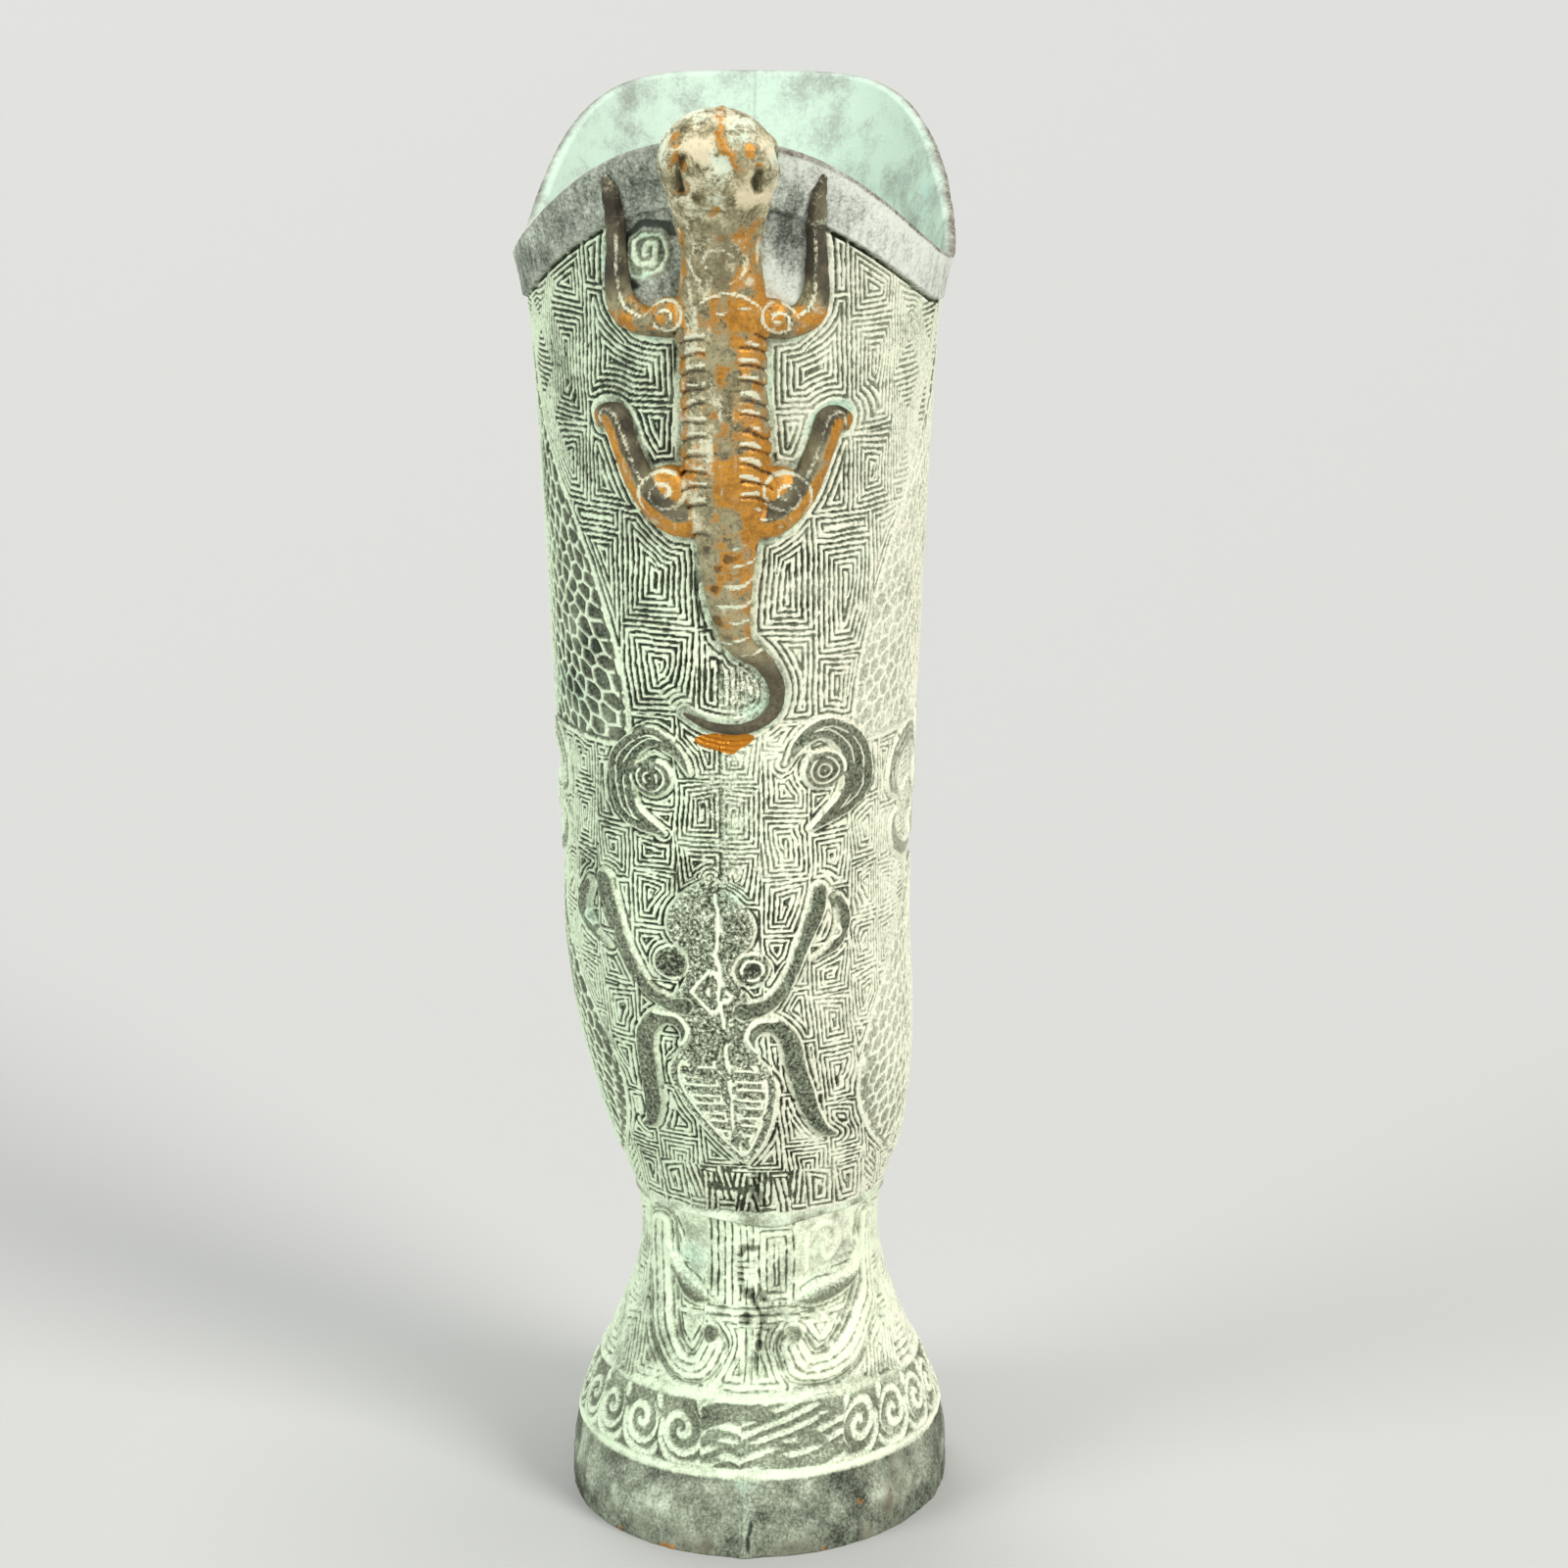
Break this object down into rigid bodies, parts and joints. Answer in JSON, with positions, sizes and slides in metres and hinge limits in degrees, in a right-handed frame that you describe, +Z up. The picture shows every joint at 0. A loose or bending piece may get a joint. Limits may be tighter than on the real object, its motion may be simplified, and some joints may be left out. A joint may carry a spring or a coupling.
{
  "type": "bronze wine vessel",
  "caption": "Tall oval bronze wine vessel with a saddle-shaped flared rim, spiral-patterned walls, a dragon climbing one end and a flared hollow foot.",
  "frame": {"origin": "on the table, at the middle of the bounding box's bottom face", "axes": "+Z up, +X and -X out of the broad sides, -Y out of the dragon end"},
  "size_m": [0.0774, 0.1277, 0.257],
  "materials": {
    "bronze": "cast bronze with pale green verdigris in the recesses",
    "braze": "rough brazed seam, patinated like the castings",
    "dragon_bronze": "cast bronze rubbed to bare copper-gold on the high parts"
  },
  "bodies": {
    "root": {"body_left": "bronze", "body_right": "bronze", "foot_left": "bronze", "foot_right": "bronze", "chamber_floor": "bronze", "front_body_seam": "braze", "back_body_seam": "braze", "front_foot_seam": "braze", "back_foot_seam": "braze", "joint_ring": "braze", "dragon": "dragon_bronze"}
  },
  "joints": []
}
